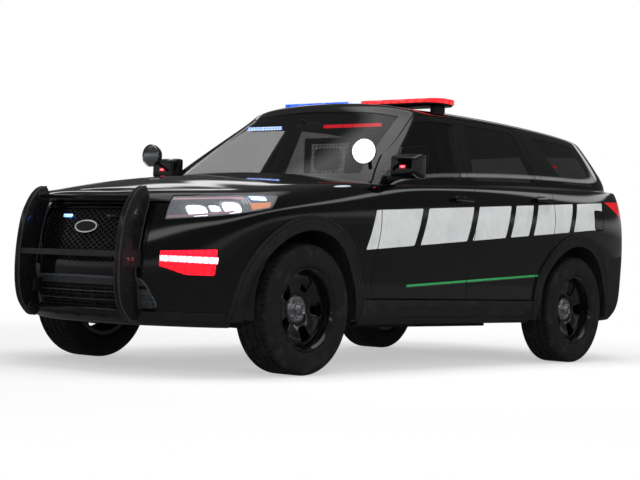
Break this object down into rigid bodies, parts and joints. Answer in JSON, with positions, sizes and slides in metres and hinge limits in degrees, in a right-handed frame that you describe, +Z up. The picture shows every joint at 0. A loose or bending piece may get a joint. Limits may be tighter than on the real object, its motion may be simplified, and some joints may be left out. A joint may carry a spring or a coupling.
{
  "type": "police patrol car",
  "caption": "Black sport utility patrol car with push bumper, roof light bar and spotlights; doors, hood, liftgate, wheels and steering move.",
  "frame": {"origin": "on the floor under the middle of the car, halfway along its length", "axes": "+X forward, +Y to the driver's side, +Z up"},
  "size_m": [5.1434, 2.268, 1.799],
  "materials": {
    "gloss_black": "gloss black paint",
    "matte_black": "grained black plastic",
    "black_steel": "satin black powder coat",
    "bare_steel": "dark bare steel",
    "window": "lightly tinted",
    "privacy_window": "dark tinted",
    "lamp": "clear lamp lens",
    "tail": "red lamp lens",
    "bar_lens": "blue and red warning lamp lens",
    "seat_cloth": "dark woven cloth",
    "trim": "soft-touch dark trim",
    "engine_block": "plain block",
    "exhaust_steel": "dull steel",
    "bright": "chrome",
    "tyre": "black tyre rubber"
  },
  "bodies": {
    "car": {"floor_pan": "bare_steel", "body_sides": "gloss_black", "roof_panel": "gloss_black", "front_fenders": "gloss_black", "front_bumper": "gloss_black", "grille": "matte_black", "front_lamps": "lamp", "push_bumper": "black_steel", "fixed_glass": "window", "light_bar": "bar_lens", "spotlights": "bright", "rear_bumper": "matte_black", "tail_lamps": "tail", "cladding": "matte_black", "dashboard": "trim", "front_seats": "seat_cloth", "rear_seat": "seat_cloth", "partition": "bare_steel", "engine": "engine_block", "front_subframe": "bare_steel", "rear_subframe": "bare_steel", "exhaust": "exhaust_steel"},
    "hood": {"hood": "gloss_black"},
    "left_front_door": {"left_front_door": "gloss_black", "left_front_glass": "window", "left_mirror": "gloss_black"},
    "right_front_door": {"right_front_door": "gloss_black", "right_front_glass": "window", "right_mirror": "gloss_black"},
    "left_rear_door": {"left_rear_door": "gloss_black", "left_rear_glass": "privacy_window"},
    "right_rear_door": {"right_rear_door": "gloss_black", "right_rear_glass": "privacy_window"},
    "liftgate": {"liftgate": "gloss_black", "rear_glass": "privacy_window"},
    "fuel_door": {"fuel_door": "gloss_black"},
    "steering_wheel": {"steering_wheel": "trim"},
    "left_knuckle": {"left_knuckle": "bare_steel"},
    "right_knuckle": {"right_knuckle": "bare_steel"},
    "front_left_wheel": {"front_left_wheel": "black_steel", "front_left_tyre": "tyre"},
    "front_right_wheel": {"front_right_wheel": "black_steel", "front_right_tyre": "tyre"},
    "rear_left_wheel": {"rear_left_wheel": "black_steel", "rear_left_tyre": "tyre"},
    "rear_right_wheel": {"rear_right_wheel": "black_steel", "rear_right_tyre": "tyre"}
  },
  "joints": [
    {"name": "front_left_spin", "type": "hinge", "parent": "left_knuckle", "child": "front_left_wheel", "pos_m": [1.572, 0.8495, 0.381], "axis": [0, 1, 0], "continuous": true},
    {"name": "front_right_spin", "type": "hinge", "parent": "right_knuckle", "child": "front_right_wheel", "pos_m": [1.572, -0.8495, 0.381], "axis": [0, 1, 0], "continuous": true},
    {"name": "rear_left_spin", "type": "hinge", "parent": "car", "child": "rear_left_wheel", "pos_m": [-1.453, 0.8495, 0.381], "axis": [0, 1, 0], "continuous": true},
    {"name": "rear_right_spin", "type": "hinge", "parent": "car", "child": "rear_right_wheel", "pos_m": [-1.453, -0.8495, 0.381], "axis": [0, 1, 0], "continuous": true},
    {"name": "steer_left", "type": "hinge", "parent": "car", "child": "left_knuckle", "pos_m": [1.572, 0.7695, 0.381], "axis": [0, 0, 1], "range_deg": [-32, 32]},
    {"name": "steer_right", "type": "hinge", "parent": "car", "child": "right_knuckle", "pos_m": [1.572, -0.7695, 0.381], "axis": [0, 0, 1], "range_deg": [-32, 32]},
    {"name": "steering_wheel_turn", "type": "hinge", "parent": "car", "child": "steering_wheel", "pos_m": [0.447, 0.385, 1.01], "axis": [-0.9135, 0, 0.4067], "range_deg": [-480, 480]},
    {"name": "left_front_door_swing", "type": "hinge", "parent": "car", "child": "left_front_door", "pos_m": [0.9285, 0.988, 0.8], "axis": [0, 0, -1], "range_deg": [0, 68]},
    {"name": "right_front_door_swing", "type": "hinge", "parent": "car", "child": "right_front_door", "pos_m": [0.9285, -0.988, 0.8], "axis": [0, 0, 1], "range_deg": [0, 68]},
    {"name": "left_rear_door_swing", "type": "hinge", "parent": "car", "child": "left_rear_door", "pos_m": [-0.0935, 0.988, 0.8], "axis": [0, 0, -1], "range_deg": [0, 68]},
    {"name": "right_rear_door_swing", "type": "hinge", "parent": "car", "child": "right_rear_door", "pos_m": [-0.0935, -0.988, 0.8], "axis": [0, 0, 1], "range_deg": [0, 68]},
    {"name": "liftgate_swing", "type": "hinge", "parent": "car", "child": "liftgate", "pos_m": [-2.096, 0, 1.654], "axis": [0, 1, 0], "range_deg": [0, 78]},
    {"name": "hood_swing", "type": "hinge", "parent": "car", "child": "hood", "pos_m": [1.021, 0, 1.186], "axis": [0, -1, 0], "range_deg": [0, 45]},
    {"name": "fuel_door_swing", "type": "hinge", "parent": "car", "child": "fuel_door", "pos_m": [-1.668, 0.978, 1.04], "axis": [0, 0, -1], "range_deg": [0, 80]}
  ],
  "couplings": [
    {"joint": "steer_right", "follows": "steer_left", "ratio": 1},
    {"joint": "steering_wheel_turn", "follows": "steer_left", "ratio": 15}
  ]
}
